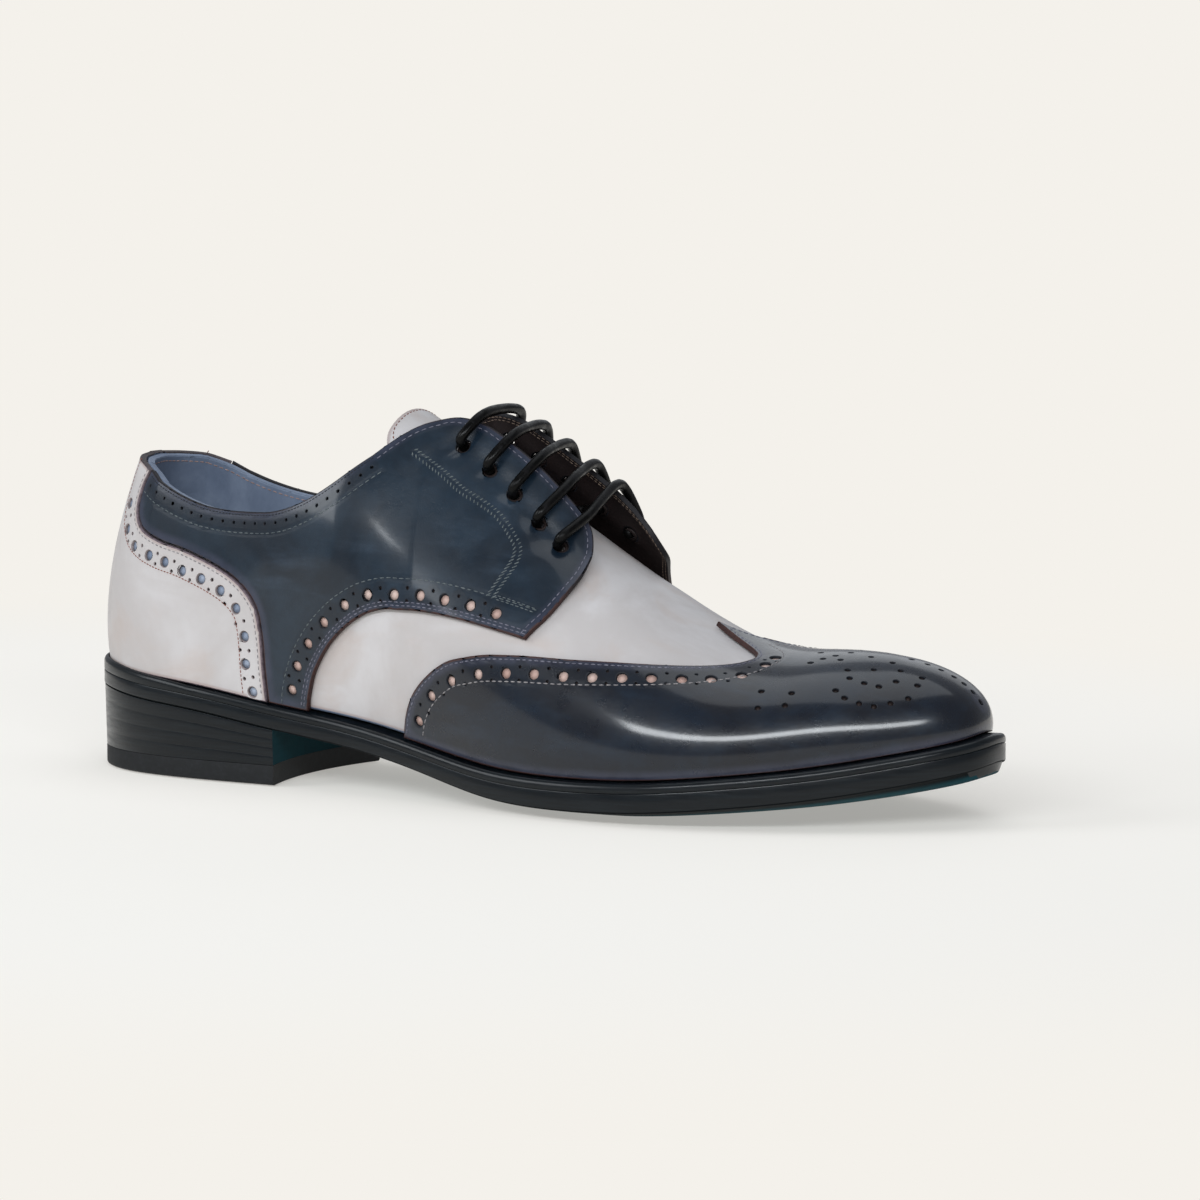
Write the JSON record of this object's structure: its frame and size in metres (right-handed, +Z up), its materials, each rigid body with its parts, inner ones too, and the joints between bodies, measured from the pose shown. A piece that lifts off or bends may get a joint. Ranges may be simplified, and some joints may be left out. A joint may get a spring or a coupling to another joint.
{
  "type": "spectator shoe",
  "caption": "right two-tone full brogue derby shoe with winged toe cap, open lacing, welted leather sole and stacked heel",
  "frame": {"origin": "middle of the heel's ground face, 37 mm ahead of the heel's back", "axes": "+X from heel to toe, +Z up, -Y to the outer side of the right foot"},
  "size_m": [0.2938, 0.1036, 0.1134],
  "materials": {
    "navy_leather": "glossy hand-stained calf",
    "pale_leather": "semi-matte off-white calf",
    "sole_edge": "inked and waxed edge",
    "top_piece": "matte wearing layer",
    "lining": "matte lining leather",
    "waxed_cord": "waxed round cord"
  },
  "bodies": {
    "root": {"outsole": "sole_edge", "welt": "sole_edge", "heel_stack": "sole_edge", "top_piece": "top_piece", "insole": "lining", "upper": "pale_leather", "counter": "pale_leather", "wing_cap": "navy_leather", "quarter_lateral": "navy_leather", "quarter_medial": "navy_leather", "tongue": "pale_leather", "lace": "waxed_cord"}
  },
  "joints": []
}
